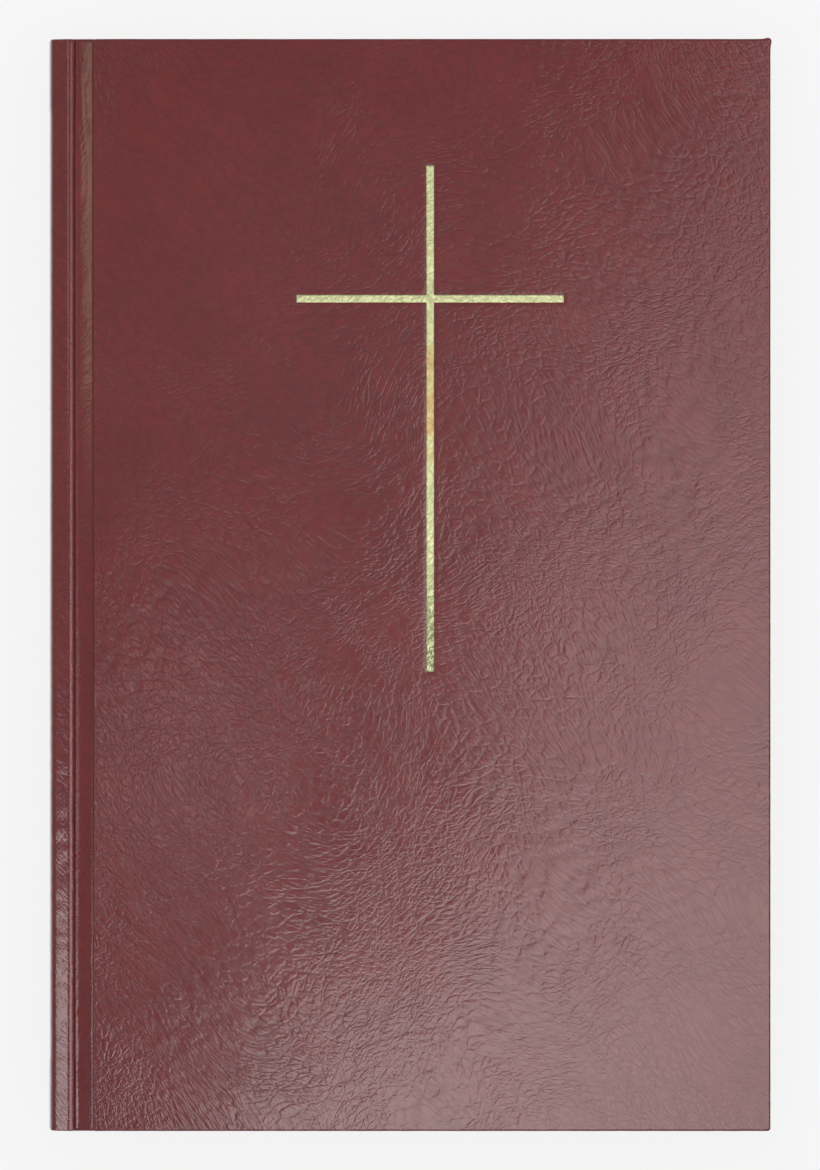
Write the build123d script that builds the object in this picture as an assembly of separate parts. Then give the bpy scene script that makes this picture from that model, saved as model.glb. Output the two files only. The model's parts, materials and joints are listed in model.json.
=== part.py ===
"""A sewn, case-bound prayer book that lies on its back cover.

X runs from the spine to the fore edge, Y from tail to head and Z up from the table. The origin is
the middle of the resting face. Lengths are in millimetres.
"""

import math
import os

from build123d import *

# Driving dimensions of the case
CASE_WIDTH = 139.7
CASE_HEIGHT = 211.0
CASE_THICKNESS = 32.0
COVER_MATERIAL = 0.5
BOARD_THICKNESS = 2.4
SPINE_TO_GROOVE = 5.4
GROOVE_WIDTH = 3.5
GROOVE_DEPTH = 2.3
GROOVE_SAG = 0.25
EDGE_RADIUS = 0.45
TURN_IN_WIDTH = 15.0
TURN_IN_THICKNESS = 0.3

# Driving dimensions of the spine
SPINE_RADIUS = 60.0
SHOULDER_DROP = 0.4
SHOULDER_BACK_RADIUS = 1.9
SHOULDER_GROOVE_RADIUS = 0.8
INLAY_THICKNESS = 0.8
INLAY_HALF_HEIGHT = 12.3
SPINE_TURN_IN = 13.5
HOLLOW_BACK = 0.5
LAYER_GAP = 0.02
LINING_THICKNESS = 0.2
MULL_THICKNESS = 0.2
GLUE_THICKNESS = 0.3
LINING_HALF_HEIGHT = 13.0
LINING_LENGTH = 200.0
MULL_LENGTH = 176.0

# Driving dimensions of the text block
SQUARE = 3.0
SECTION_COUNT = 24
LEAVES_PER_SIDE = 5
LEAF_THICKNESS = 0.1
LEAF_PITCH = 0.15
ENDPAPER_THICKNESS = 0.15
FLARE_RATIO = 1.08
FLARE_REACH = 0.7
FOLD_DEPTH = 0.35
FORE_EDGE_HOLLOW = 1.5

# Sewing and headbands
STATION_SPACING = 42.5
STATION_COUNT = 5
KERF_WIDTH = 1.2
KERF_DEPTH = 0.9
THREAD_RADIUS = 0.2
THREAD_CLEARANCE = 0.03
THREAD_DEPTH = 0.55
LINK_WIDTH = 0.7
HEADBAND_RADIUS = 0.9
HEADBAND_TAPE = 10.0
FLANGE_WIDTH = 24.0
FLANGE_THICKNESS = 0.15

# The blocked cross on the front cover
CROSS_X = 4.1
CROSS_ARM_Y = 55.3
CROSS_TOP = 81.1
CROSS_FOOT = -16.8
CROSS_SPAN = 51.7
CROSS_STROKE = 1.55
BLOCKING_DEPTH = 0.12
FOIL_THICKNESS = 0.05
FOIL_CLEARANCE = 0.02

# Places worked out from the dimensions above
SPINE_X = -CASE_WIDTH / 2
FORE_X = CASE_WIDTH / 2
HEAD_Y = CASE_HEIGHT / 2
MIDDLE_Z = CASE_THICKNESS / 2
SHOULDER_X = SPINE_X + SPINE_TO_GROOVE
BOARD_X = SHOULDER_X + GROOVE_WIDTH
HINGE_X = (SHOULDER_X + BOARD_X) / 2
COVER_THICKNESS = COVER_MATERIAL + BOARD_THICKNESS
GROOVE_FLOOR = CASE_THICKNESS - GROOVE_DEPTH
PAGE_HEAD = HEAD_Y - SQUARE
PAGE_FORE = FORE_X - SQUARE
LEAF_START = HINGE_X + 0.3
FLYLEAF_TOP = CASE_THICKNESS - COVER_THICKNESS - ENDPAPER_THICKNESS - 0.05
SECTIONS_TOP = FLYLEAF_TOP - LEAVES_PER_SIDE * LEAF_PITCH
SPINE_CENTRE = (SPINE_X + SPINE_RADIUS, MIDDLE_Z)
INLAY_INNER = COVER_MATERIAL + INLAY_THICKNESS
LINING_OUTER = INLAY_INNER + HOLLOW_BACK
MULL_OUTER = LINING_OUTER + LINING_THICKNESS + LAYER_GAP
GLUE_OUTER = MULL_OUTER + MULL_THICKNESS + LAYER_GAP
FOLD_OUTER = GLUE_OUTER + GLUE_THICKNESS + LAYER_GAP
FLARE_X = SHOULDER_X + FLARE_REACH
THREAD_LENGTH = STATION_SPACING * (STATION_COUNT - 1)


def block(x_low, x_high, y_low, y_high, z_low, z_high):
    """A box given by its two corners."""
    size = (x_high - x_low, y_high - y_low, z_high - z_low)
    centre = ((x_low + x_high) / 2, (y_low + y_high) / 2, (z_low + z_high) / 2)
    return Pos(*centre) * Box(*size)


def prism(face, y_low, y_high):
    """A flat XZ face stretched from y_low to y_high."""
    return Pos(0, y_high, 0) * extrude(Plane.XZ * face, amount=y_high - y_low)


def mirrored(shape):
    """The same shape on the back cover's side of the book."""
    return mirror(shape, about=Plane.XY.offset(MIDDLE_Z))


def spine_point(depth, height):
    """A point of the rounded spine, depth inside its outer face and height above its middle."""
    radius = SPINE_RADIUS - depth
    return (SPINE_CENTRE[0] - math.sqrt(radius**2 - height**2), MIDDLE_Z + height)


def spine_band(outer_depth, inner_depth, half_height, y_low, y_high):
    """A curved layer that lies along the rounded spine."""
    angle = math.degrees(math.asin(half_height / (SPINE_RADIUS - outer_depth)))
    outer = CenterArc(SPINE_CENTRE, SPINE_RADIUS - outer_depth, 180 - angle, 2 * angle)
    inner = CenterArc(SPINE_CENTRE, SPINE_RADIUS - inner_depth, 180 - angle, 2 * angle)
    ends = [Line(outer @ 0, inner @ 0), Line(outer @ 1, inner @ 1)]
    return prism(make_face([outer, inner, *ends]), y_low, y_high)


# Text block
def section_boundary(number):
    """The flat height of the boundary under section number, counted from 0 at the back cover."""
    depth = SECTIONS_TOP - (CASE_THICKNESS - SECTIONS_TOP)
    return CASE_THICKNESS - SECTIONS_TOP + depth * number / SECTION_COUNT


def flared_height(z):
    """How far above the middle of the spine a boundary ends, once the backs are fanned out."""
    return (z - MIDDLE_Z) * FLARE_RATIO


def fore_edge(z):
    """The concave fore edge, which repeats the rounding of the spine."""
    share = (z - MIDDLE_Z) / (SECTIONS_TOP - MIDDLE_Z)
    return PAGE_FORE - FORE_EDGE_HOLLOW * (1 - share**2)


def thread_channel(number, radius, length):
    """A rod inside the fold of one section, on the middle plane of its flared back."""
    z = (section_boundary(number) + section_boundary(number + 1)) / 2
    fold = Vector(*spine_point(FOLD_OUTER, flared_height(z)))
    inward = (Vector(FLARE_X, z) - fold).normalized()
    place = fold + inward * THREAD_DEPTH
    return Pos(place.X, 0, place.Y) * Rot(90, 0, 0) * Cylinder(radius, length)


def kerfs():
    """The saw cuts across the backs of the sections, one at each sewing station."""
    half_height = flared_height(SECTIONS_TOP) + 1
    return [
        spine_band(
            FOLD_OUTER - GLUE_THICKNESS,
            FOLD_OUTER + KERF_DEPTH,
            half_height,
            y - KERF_WIDTH / 2,
            y + KERF_WIDTH / 2,
        )
        for y in stations()
    ]


def stations():
    """The heights of the sewing stations along the spine."""
    middle = (STATION_COUNT - 1) / 2
    return [(number - middle) * STATION_SPACING for number in range(STATION_COUNT)]


def section(number):
    """One folded section, its rounded back flared towards the nearer board."""
    low, high = section_boundary(number), section_boundary(number + 1)
    fore = fore_edge((low + high) / 2)
    low_back = spine_point(FOLD_OUTER + FOLD_DEPTH, flared_height(low))
    high_back = spine_point(FOLD_OUTER + FOLD_DEPTH, flared_height(high))
    fold = spine_point(FOLD_OUTER, flared_height((low + high) / 2))
    edges = [
        Polyline(high_back, (FLARE_X, high), (fore, high), (fore, low), (FLARE_X, low), low_back),
        ThreePointArc(low_back, fold, high_back),
    ]
    paper = prism(make_face(edges), -PAGE_HEAD, PAGE_HEAD)
    radius = THREAD_RADIUS + THREAD_CLEARANCE
    return paper - thread_channel(number, radius, THREAD_LENGTH + KERF_WIDTH) - kerfs()


def sewing_thread():
    """The threads in the folds, joined at every station by the link stitches in the saw cuts."""
    links = [
        spine_band(
            FOLD_OUTER + 0.1,
            FOLD_OUTER + KERF_DEPTH - 0.1,
            flared_height(SECTIONS_TOP) - 0.4,
            y - LINK_WIDTH / 2,
            y + LINK_WIDTH / 2,
        )
        for y in stations()
    ]
    rods = [thread_channel(n, THREAD_RADIUS, THREAD_LENGTH) for n in range(SECTION_COUNT)]
    return links[0].fuse(*links[1:], *rods)


def leaf(number):
    """One turning leaf on the front side, counted from 0 at the flyleaf."""
    top = FLYLEAF_TOP - number * LEAF_PITCH
    fore = PAGE_FORE - 0.05
    return block(LEAF_START, fore, -PAGE_HEAD, PAGE_HEAD, top - LEAF_THICKNESS, top)


def headband(side):
    """A rolled bead on the end of the block's spine, with the tape that glues it there."""
    bead_y = PAGE_HEAD + HEADBAND_RADIUS + 0.02
    half_height = flared_height(SECTIONS_TOP) - 0.6
    depth = FOLD_OUTER + 0.35
    low, high = spine_point(depth, -half_height), spine_point(depth, half_height)
    middle = spine_point(depth, 0)
    path = Plane.XZ * ThreePointArc(low, middle, high)
    profile = Plane(origin=path @ 0, z_dir=path % 0) * Circle(HEADBAND_RADIUS)
    bead = Pos(0, bead_y, 0) * sweep(profile, path=path)
    tape_edge = PAGE_HEAD - HEADBAND_TAPE
    tape_out, tape_in = MULL_OUTER, MULL_OUTER + MULL_THICKNESS
    tape = spine_band(tape_out, tape_in + LAYER_GAP, half_height, tape_edge, bead_y)
    root = spine_band(tape_out, FOLD_OUTER + 0.3, half_height, PAGE_HEAD + 0.05, bead_y)
    band = bead + tape + root
    return band if side > 0 else mirror(band, about=Plane.XZ)


# Case
def turn_ins():
    """The cover material folded in over the fore, head and tail edges of the front board."""
    low = CASE_THICKNESS - COVER_THICKNESS
    x_low, x_high = BOARD_X + COVER_MATERIAL, FORE_X - COVER_MATERIAL
    y = HEAD_Y - COVER_MATERIAL
    frame = block(x_low, x_high, -y, y, low, low + TURN_IN_THICKNESS)
    x_in, y_in = FORE_X - TURN_IN_WIDTH, HEAD_Y - TURN_IN_WIDTH
    return frame - block(x_low - 1, x_in, -y_in, y_in, low - 1, low + 1)


def mull_flange():
    """The mull glued to the inner face of the front board, under the pastedown."""
    low = CASE_THICKNESS - COVER_THICKNESS
    start = BOARD_X + COVER_MATERIAL
    half = MULL_LENGTH / 2
    return block(start, start + FLANGE_WIDTH, -half, half, low, low + FLANGE_THICKNESS)


def plain_board():
    """The front board before its inner face is rebated."""
    x_low, x_high = BOARD_X + COVER_MATERIAL, FORE_X - COVER_MATERIAL
    y = HEAD_Y - COVER_MATERIAL
    z_low, z_high = CASE_THICKNESS - COVER_THICKNESS, CASE_THICKNESS - COVER_MATERIAL
    return block(x_low, x_high, -y, y, z_low, z_high)


def board():
    """The front board, rebated for the turn-ins and the mull so that the pastedown lies flat."""
    return plain_board() - turn_ins() - mull_flange()


def cover_skin():
    """The cover material over the front board, round its edges and turned in."""
    low = CASE_THICKNESS - COVER_THICKNESS
    outer = block(BOARD_X, FORE_X, -HEAD_Y, HEAD_Y, low, CASE_THICKNESS)
    edges = outer.edges().filter_by(Axis.Z) + outer.edges().group_by(Axis.Z)[-1]
    return fillet(edges, EDGE_RADIUS) - plain_board() + turn_ins()


def cross(clearance, z_low, z_high):
    """The two strokes of the cross as one solid, smaller all round by the clearance."""
    half = CROSS_STROKE / 2 - clearance
    reach = CROSS_SPAN / 2 - clearance
    upright_low, upright_high = CROSS_FOOT + clearance, CROSS_TOP - clearance
    upright = block(CROSS_X - half, CROSS_X + half, upright_low, upright_high, z_low, z_high)
    y_low, y_high = CROSS_ARM_Y - half, CROSS_ARM_Y + half
    arm = block(CROSS_X - reach, CROSS_X + reach, y_low, y_high, z_low, z_high)
    return upright + arm


def pastedown():
    """The half of the front endpaper that is glued to the board."""
    high = CASE_THICKNESS - COVER_THICKNESS
    return block(BOARD_X, PAGE_FORE, -PAGE_HEAD, PAGE_HEAD, high - ENDPAPER_THICKNESS, high)


def joint_cloth():
    """The cover material, mull and endpaper that lie together in the front groove and flex."""
    low, high, start = FLYLEAF_TOP + 0.15, GROOVE_FLOOR, SHOULDER_X - COVER_MATERIAL
    valley = ThreePointArc((SHOULDER_X, high), (HINGE_X, high - GROOVE_SAG), (BOARD_X, high))
    rest = Polyline((BOARD_X, high), (BOARD_X, low), (start, low), (start, high), (SHOULDER_X, high))
    return prism(make_face([valley, rest]), -HEAD_Y, HEAD_Y)


def spine_skin():
    """The cover material over the spine, round both shoulders, with its head and tail turn-ins."""
    crest = CASE_THICKNESS - SHOULDER_DROP - MIDDLE_Z
    low, high = spine_point(0, -crest), spine_point(0, crest)
    rest = Polyline(high, (SHOULDER_X, high[1]), (SHOULDER_X, low[1]), low)
    outline = make_face([ThreePointArc(low, (SPINE_X, MIDDLE_Z), high), rest])
    back = outline.vertices().group_by(Axis.X)[0]
    front = outline.vertices().group_by(Axis.X)[-1]
    outline = fillet(front, SHOULDER_GROOVE_RADIUS + COVER_MATERIAL)
    back = outline.vertices().group_by(Axis.X)[0]
    outline = fillet(back, SHOULDER_BACK_RADIUS)
    hollow = offset(outline, -COVER_MATERIAL)
    opening_z = GROOVE_FLOOR - MIDDLE_Z
    opening = Pos(SHOULDER_X, MIDDLE_Z) * Rectangle(4 * COVER_MATERIAL, 2 * opening_z)
    skin = prism(outline - hollow - opening, -HEAD_Y, HEAD_Y)
    inner = INLAY_INNER + TURN_IN_THICKNESS
    for side in (-1, 1):
        ends = sorted((side * HEAD_Y, side * (HEAD_Y - COVER_MATERIAL)))
        reach = sorted((side * HEAD_Y, side * (HEAD_Y - SPINE_TURN_IN)))
        skin += spine_band(COVER_MATERIAL - 0.01, inner, INLAY_HALF_HEIGHT, *ends)
        skin += spine_band(INLAY_INNER, inner, INLAY_HALF_HEIGHT, *reach)
    return skin


def spine_inlay():
    """The flexible card that stiffens the spine of the case."""
    y = HEAD_Y - COVER_MATERIAL
    return spine_band(COVER_MATERIAL, INLAY_INNER, INLAY_HALF_HEIGHT, -y, y)


def parts():
    """Every node of the book with its shape."""
    page, lining, mull = PAGE_HEAD, LINING_LENGTH / 2, MULL_LENGTH / 2
    foil_low = CASE_THICKNESS - BLOCKING_DEPTH
    blocking = cross(0, foil_low, CASE_THICKNESS + 1)
    half = LINING_HALF_HEIGHT
    found = {
        "front_board": board(),
        "back_board": mirrored(board()),
        "front_cover_skin": cover_skin() - blocking,
        "back_cover_skin": mirrored(cover_skin()),
        "cross_foil": cross(FOIL_CLEARANCE, foil_low, foil_low + FOIL_THICKNESS),
        "front_mull_flange": mull_flange(),
        "back_mull_flange": mirrored(mull_flange()),
        "front_pastedown": pastedown(),
        "back_pastedown": mirrored(pastedown()),
        "front_joint_cloth": joint_cloth(),
        "back_joint_cloth": mirrored(joint_cloth()),
        "spine_skin": spine_skin(),
        "spine_inlay": spine_inlay(),
        "spine_lining": spine_band(LINING_OUTER, MULL_OUTER - LAYER_GAP, half, -lining, lining),
        "spine_mull": spine_band(MULL_OUTER, GLUE_OUTER - LAYER_GAP, half, -mull, mull),
        "spine_glue": spine_band(GLUE_OUTER, FOLD_OUTER - LAYER_GAP, half, -page, page),
        "sewing_thread": sewing_thread(),
        "head_band": headband(1),
        "tail_band": headband(-1),
    }
    for number in range(LEAVES_PER_SIDE):
        name = f"leaf_{number}" if number else "flyleaf"
        found[f"front_{name}"] = leaf(number)
        found[f"back_{name}"] = mirrored(leaf(number))
    for number in range(SECTION_COUNT):
        found[f"section_{number + 1:02d}"] = section(number)
    return found


os.makedirs("parts", exist_ok=True)
for node, shape in parts().items():
    export_step(shape, f"parts/{node}.step")
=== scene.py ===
import json
import math

import bmesh
import bpy
import numpy as np
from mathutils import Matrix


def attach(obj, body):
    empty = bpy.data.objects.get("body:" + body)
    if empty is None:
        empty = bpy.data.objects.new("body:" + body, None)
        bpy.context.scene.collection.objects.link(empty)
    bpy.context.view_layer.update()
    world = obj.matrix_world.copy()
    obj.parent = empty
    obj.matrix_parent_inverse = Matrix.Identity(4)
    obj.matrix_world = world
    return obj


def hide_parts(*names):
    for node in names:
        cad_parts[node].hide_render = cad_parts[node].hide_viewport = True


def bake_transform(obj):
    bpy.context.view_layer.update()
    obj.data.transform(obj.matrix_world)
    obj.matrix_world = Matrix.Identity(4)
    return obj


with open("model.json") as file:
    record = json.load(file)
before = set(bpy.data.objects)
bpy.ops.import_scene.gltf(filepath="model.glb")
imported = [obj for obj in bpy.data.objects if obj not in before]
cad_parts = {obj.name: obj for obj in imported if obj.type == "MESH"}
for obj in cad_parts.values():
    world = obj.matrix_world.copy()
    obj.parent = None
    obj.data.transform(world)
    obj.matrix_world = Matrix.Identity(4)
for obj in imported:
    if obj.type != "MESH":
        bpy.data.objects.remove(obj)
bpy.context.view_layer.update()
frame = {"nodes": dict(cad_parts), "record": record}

# The book's dimensions, in millimetres, as the CAD model has them
MM = 0.001
WIDTH, HEIGHT, THICKNESS = 139.7, 211.0, 32.0
SPINE_X, FORE_X, HEAD_Y, MIDDLE_Z = -WIDTH / 2, WIDTH / 2, HEIGHT / 2, THICKNESS / 2
SHOULDER_X = SPINE_X + 5.4
BOARD_X = SHOULDER_X + 3.5
BOARD_BOTTOM = THICKNESS - 2.9
SPINE_RADIUS = 60.0
SPINE_CENTRE = SPINE_X + SPINE_RADIUS
SQUARE = 3.0
PAGE_HEAD, PAGE_FORE = HEAD_Y - SQUARE, FORE_X - SQUARE
FLYLEAF_TOP = BOARD_BOTTOM - 0.2
LEAVES, LEAF_PITCH = 5, 0.15
SECTIONS = 24
SECTIONS_TOP = FLYLEAF_TOP - LEAVES * LEAF_PITCH
FOLD_DEPTH = 2.56
CROSS_X, CROSS_Y, CROSS_TOP, CROSS_FOOT, CROSS_HALF_SPAN = 4.1, 55.3, 81.1, -16.8, 25.85
STROKE_HALF = 0.775
BLOCKING_DEPTH, BLOCKING_MARGIN = 0.04, 0.22
TURN_IN = 15.0
LIP = 0.25
BACKING_FLARE = 1.08

# The spacing of the points on the cover panels, the spine and grooves, the endpapers and the pages
PANEL_STEP, LEATHER_STEP, ENDPAPER_STEP, PAGE_STEP = 0.66, 0.62, 2.0, 3.2


# Smooth repeatable noise
def gradient_noise(x, y, seed):
    """Gradient noise of unit wavelength, about -0.7 to 0.7."""
    cell_x, cell_y = np.floor(x).astype(np.int64), np.floor(y).astype(np.int64)
    u, v = x - cell_x, y - cell_y
    fade_u, fade_v = u**3 * (u * (6 * u - 15) + 10), v**3 * (v * (6 * v - 15) + 10)

    def corner(across, up):
        mixed = (cell_x + across) * 374761393 + (cell_y + up) * 668265263 + seed * 974634777
        mixed = ((mixed ^ (mixed >> 13)) * 1274126177) & 0xFFFFFFFF
        angle = ((mixed ^ (mixed >> 16)) & 0xFFFF) / 65536 * 2 * math.pi
        return np.cos(angle) * (u - across) + np.sin(angle) * (v - up)

    low = corner(0, 0) * (1 - fade_u) + corner(1, 0) * fade_u
    high = corner(0, 1) * (1 - fade_u) + corner(1, 1) * fade_u
    return low * (1 - fade_v) + high * fade_v


def smooth(value, low, high):
    """0 below low, 1 above high and a smooth step between."""
    t = np.clip((value - low) / (high - low), 0, 1)
    return t * t * (3 - 2 * t)


def mound(x, y, centre_x, centre_y, radius_x, radius_y):
    """A smooth round hill of height 1."""
    return np.exp(-(((x - centre_x) / radius_x) ** 2) - ((y - centre_y) / radius_y) ** 2)


def grain_relief(x, y, seed):
    """Height in mm of the cover material's larger creases, which flow from lower left to upper right."""
    lay = math.radians(50)
    turn = 0.5 * gradient_noise(x / 55, y / 55, seed + 1)
    flow_x = x + 9 * gradient_noise(x / 38, y / 38, seed + 2)
    flow_y = y + 9 * gradient_noise(x / 38 + 7, y / 38 - 3, seed + 3)
    angle = lay + turn
    along = flow_x * math.cos(lay) + flow_y * math.sin(lay)
    across = -flow_x * np.sin(angle) + flow_y * np.cos(angle)
    ridge = 1 - np.abs(gradient_noise(along / 9, across / 3.4, seed + 4)) * 2.6
    fine = gradient_noise(along / 4, across / 1.9, seed + 5)
    strength = 0.45 + 0.75 * smooth(gradient_noise(x / 42, y / 42, seed + 6), -0.35, 0.4)
    return strength * (-0.030 * smooth(ridge, 0.35, 1.0) + 0.014 * fine)


def undulation(x, y):
    """Height in mm of the board's gentle warp."""
    swell = 0.10 * gradient_noise(x / 70 + 0.3, y / 70 + 0.1, 91)
    return swell + 0.05 * gradient_noise(x / 31, y / 31, 92)


# Meshes
def make_piece(name, points, faces, materials, place=None, face_material=None, smooth_shade=True):
    """A mesh object from points in mm. place holds each point's own unrolled position in mm."""
    mesh = bpy.data.meshes.new(name)
    points = np.asarray(points, float)
    mesh.from_pydata((points * MM).tolist(), [], [list(map(int, f)) for f in faces])
    mesh.update()
    place = points if place is None else np.asarray(place, float)
    attribute = mesh.attributes.new("place", "FLOAT_VECTOR", "POINT")
    attribute.data.foreach_set("vector", place.astype(np.float32).ravel())
    for material in materials:
        mesh.materials.append(material)
    if face_material is not None:
        mesh.polygons.foreach_set("material_index", np.asarray(face_material, np.int32))
    mesh.polygons.foreach_set("use_smooth", np.full(len(mesh.polygons), smooth_shade))
    mesh.validate()
    piece = bpy.data.objects.new(name, mesh)
    bpy.context.scene.collection.objects.link(piece)
    return piece


def grid_faces(rows, columns, first=0, flip=False, wrap=False):
    """Quads of a grid of points stored row by row; wrap joins the last column to the first."""
    r, c = np.meshgrid(np.arange(rows - 1), np.arange(columns if wrap else columns - 1), indexing="ij")
    a, b = r * columns + c, r * columns + (c + 1) % columns
    quads = np.stack([a, b, b + columns, a + columns], -1).reshape(-1, 4) + first
    return quads[:, ::-1] if flip else quads


def ruled_lines(stops, step):
    """Coordinates that pass through every stop, no further apart than step."""
    found = [np.array([stops[0]])]
    for low, high in zip(stops, stops[1:]):
        count = max(1, math.ceil((high - low) / step - 1e-9))
        found.append(np.linspace(low, high, count + 1)[1:])
    return np.concatenate(found)


def mirror_z(points):
    """The same points on the back cover's side of the book."""
    points = np.array(points, float)
    points[:, 2] = THICKNESS - points[:, 2]
    return points


def flipped(faces):
    """The same faces seen from their other side."""
    return [list(f)[::-1] for f in faces]


# Node materials
def srgb(red, green, blue):
    """A colour given in display values from 0 to 255, as linear light."""
    def linear(value):
        value /= 255
        return value / 12.92 if value <= 0.04045 else ((value + 0.055) / 1.055) ** 2.4
    return (linear(red), linear(green), linear(blue), 1)


class Nodes:
    """One material's node tree with short ways to add nodes."""

    def __init__(self, name):
        self.material = bpy.data.materials.new(name)
        self.material.use_nodes = True
        self.tree = self.material.node_tree
        self.shader = self.tree.nodes["Principled BSDF"]
        place = self.tree.nodes.new("ShaderNodeAttribute")
        place.attribute_name = "place"
        self.place = place.outputs["Vector"]

    def put(self, socket, value):
        if isinstance(value, bpy.types.NodeSocket):
            self.tree.links.new(value, socket)
        else:
            socket.default_value = value

    def add(self, kind, inputs, output=0, **settings):
        node = self.tree.nodes.new("ShaderNode" + kind)
        for key, value in settings.items():
            setattr(node, key, value)
        for key, value in inputs.items():
            self.put(node.inputs[key], value)
        return node.outputs[output]

    def noise(self, vector, scale, detail=2.0, rough=0.5, output=0, distortion=0.0):
        inputs = {"Vector": vector, "Scale": scale, "Detail": detail, "Roughness": rough}
        inputs["Distortion"] = distortion
        return self.add("TexNoise", inputs, output)

    def math(self, operation, first, second=0.0, third=0.0):
        return self.add("Math", {0: first, 1: second, 2: third}, operation=operation)

    def vector_math(self, operation, first, second=(0, 0, 0)):
        return self.add("VectorMath", {0: first, 1: second}, operation=operation)

    def scaled(self, vector, size):
        return self.add("Mapping", {"Vector": vector, "Scale": size})

    def laid(self, vector, degrees, along, across):
        """The vector turned so that its X runs at an angle in the plane, in units of along by across."""
        inputs = {"Vector": vector, "Rotation": (0, 0, math.radians(degrees)), "Scale": (along, across, 3)}
        return self.add("Mapping", inputs, vector_type="TEXTURE")

    def remap(self, value, low, high, to_low=0.0, to_high=1.0, kind="SMOOTHSTEP"):
        inputs = {"Value": value, "From Min": low, "From Max": high, "To Min": to_low, "To Max": to_high}
        return self.add("MapRange", inputs, interpolation_type=kind)

    def mix(self, factor, first, second, blend="MIX"):
        node = self.tree.nodes.new("ShaderNodeMix")
        node.data_type, node.blend_type = "RGBA", blend
        self.put(node.inputs[0], factor)
        self.put(node.inputs[6], first)
        self.put(node.inputs[7], second)
        return node.outputs[2]

    def bump(self, height, distance, strength=1.0, normal=None):
        inputs = {"Height": height, "Distance": distance, "Strength": strength}
        if normal is not None:
            inputs["Normal"] = normal
        return self.add("Bump", inputs)

    def finish(self, **values):
        for key, value in values.items():
            self.put(self.shader.inputs[key.replace("_", " ").title().replace("Ior", "IOR")], value)
        return self.material


# Each set of creases: its direction in degrees, its cells' length and width in mm, the creases' width
# as a share of a cell, their depth, and how far the pattern is moved so that no two sets are alike
GRAIN_SETS = (
    (54, 3.8, 1.1, 0.20, 0.20, 0.0),
    (22, 3.2, 0.95, 0.22, 0.15, 11.0),
    (-58, 2.8, 1.0, 0.22, 0.09, 23.0),
    (48, 9.0, 2.6, 0.08, 0.12, 37.0),
)
# The grain's height where there is no crease
GRAIN_FLAT = 0.8


def grain_height(nodes, calm=1.0):
    """The cover material's creases and pebbling, about 0 to 1, and how deep in a crease a point lies."""
    def shifted(vector, scale, detail, reach):
        """The place moved about by noise, by up to about half of reach."""
        noise = nodes.noise(vector, scale, detail, 0.6, output=1)
        offset = nodes.vector_math("SUBTRACT", noise, (0.5, 0.5, 0.5))
        return nodes.vector_math("ADD", vector, nodes.vector_math("MULTIPLY", offset, (reach, reach, 0)))

    across = nodes.add("SeparateXYZ", {"Vector": nodes.place})
    fore_lean = nodes.remap(across, -15.0, 110.0, 0.0, 92.0)
    spine_lean = nodes.remap(across, -90.0, -5.0, 0.0, 66.0)
    lean = nodes.add("CombineXYZ", {"Y": nodes.math("ADD", fore_lean, spine_lean)})
    flow = nodes.vector_math("ADD", shifted(nodes.place, 0.024, 1.0, 26), lean)
    flow = shifted(flow, 0.5, 3.0, 0.6)
    height = GRAIN_FLAT
    for angle, along, across, width, depth, seed in GRAIN_SETS:
        lay = nodes.vector_math("ADD", nodes.laid(flow, angle, along, across), (seed, 3 * seed, 0))
        cells = nodes.add("TexVoronoi", {"Vector": lay, "Scale": 1.0}, feature="DISTANCE_TO_EDGE")
        level = nodes.remap(cells, 0.0, width, kind="SMOOTHERSTEP")
        where = nodes.vector_math("ADD", flow, (seed, seed, 0))
        where = nodes.remap(nodes.noise(where, 0.09, 3.0, 0.55), 0.36, 0.62, 0.4, 1.0)
        level = nodes.math("MULTIPLY", nodes.math("SUBTRACT", level, 1.0), where)
        height = nodes.math("MULTIPLY_ADD", level, depth * calm, height)
    crease = nodes.remap(height, GRAIN_FLAT - 0.24 * calm, GRAIN_FLAT - 0.06 * calm, 1.0, 0.0)
    swell = nodes.noise(nodes.laid(flow, 50, 2.1, 0.9), 1.0, 3.0, 0.6)
    height = nodes.math("MULTIPLY_ADD", swell, 0.20 * calm, height)
    pebble = nodes.noise(nodes.place, 2.6, 2.0, 0.6)
    return nodes.math("MULTIPLY_ADD", pebble, 0.09, height), crease


def leather_material(name, calm=1.0):
    """Grained, lightly polished burgundy cover material, with painted shade in its creases."""
    nodes = Nodes(name)
    height, crease = grain_height(nodes, calm)
    cloud = nodes.remap(nodes.noise(nodes.place, 0.045, 3.0, 0.6), 0.35, 0.65)
    base = nodes.mix(cloud, srgb(108, 37, 39), srgb(114, 40, 41))
    speck = nodes.remap(nodes.noise(nodes.place, 3.1, 2.0, 0.7), 0.45, 0.75, 0.0, 0.28)
    base = nodes.mix(speck, base, srgb(91, 31, 34))
    # Painted shade: the base colour darkens towards deep red in the creases, where shade falls.
    base = nodes.mix(nodes.math("MULTIPLY", crease, 0.35), base, srgb(78, 24, 27))
    dust = nodes.add("TexVoronoi", {"Vector": nodes.place, "Scale": 0.055})
    dust = nodes.remap(dust, 0.006, 0.012, 0.55, 0.0)
    base = nodes.mix(dust, base, srgb(196, 176, 168))
    gloss = nodes.remap(nodes.noise(nodes.place, 0.6, 4.0, 0.6), 0.3, 0.7, 0.125, 0.165)
    gloss = nodes.math("MULTIPLY_ADD", crease, 0.05, gloss)
    normal = nodes.bump(height, 0.00009)
    return nodes.finish(base_color=base, roughness=gloss, normal=normal, ior=1.5)


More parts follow.
